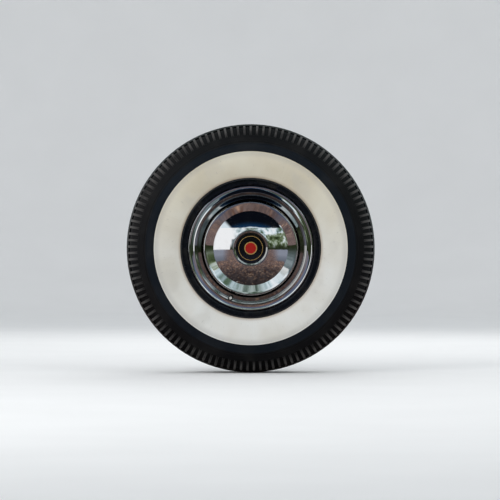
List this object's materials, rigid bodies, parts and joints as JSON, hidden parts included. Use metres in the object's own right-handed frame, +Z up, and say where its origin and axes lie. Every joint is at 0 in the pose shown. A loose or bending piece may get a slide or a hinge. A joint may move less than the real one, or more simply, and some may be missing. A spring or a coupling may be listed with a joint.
{
  "type": "car rear wheel on its axle end",
  "caption": "Whitewall tyre on a pressed steel wheel with chrome hub cap and trim ring, brake drum, half-shaft and backing plate, turning in its wheel bearing.",
  "frame": {"origin": "centre of the backing plate's bolt circle, in the face that is bolted to the axle housing", "axes": "+Z up, the axle along Y, +Y inboard along the half-shaft, the hub cap faces -Y"},
  "size_m": [0.744, 0.8095, 0.7439],
  "materials": {
    "tyre_rubber": "satin black rubber",
    "white_rubber": "matte white rubber, a little dirty",
    "black_enamel": "gloss black enamel",
    "chrome": "bright chrome plate",
    "medallion_enamel": "gloss black enamel in a metal dish",
    "valve_rubber": "matte black rubber",
    "bright_steel": "ground steel",
    "zinc_steel": "zinc plated steel",
    "forged_steel": "forged steel, turned where it bears",
    "drum_iron": "bare cast iron with a thin brown bloom",
    "plate_black": "semi-gloss black chassis paint",
    "cylinder_iron": "bare cast iron",
    "brass": "plain brass"
  },
  "bodies": {
    "axle_end": {"backing_plate": "plate_black", "bearing_retainer": "plate_black", "bearing_outer_ring": "bright_steel", "wheel_cylinder": "cylinder_iron", "cylinder_bolts": "zinc_steel", "brake_inlet": "brass", "bleeder_screw": "zinc_steel", "anchor_pin": "zinc_steel", "anchor_nut": "zinc_steel", "adjuster_plug": "valve_rubber", "holddown_pins": "zinc_steel"},
    "wheel": {"tyre": "tyre_rubber", "whitewall": "white_rubber", "wheel_rim": "black_enamel", "wheel_disc": "black_enamel", "trim_ring": "chrome", "hub_cap": "chrome", "cap_bezel": "chrome", "cap_medallion": "medallion_enamel", "valve_stem": "valve_rubber", "valve_cap": "zinc_steel", "wheel_studs": "zinc_steel", "lug_nuts": "zinc_steel", "brake_drum": "drum_iron", "half_shaft": "forged_steel", "bearing_inner_ring": "bright_steel", "bearing_collar": "bright_steel"}
  },
  "joints": [
    {"name": "wheel_spin", "type": "hinge", "parent": "axle_end", "child": "wheel", "pos_m": [0, 0.009, 0], "axis": [0, 1, 0], "continuous": true}
  ]
}
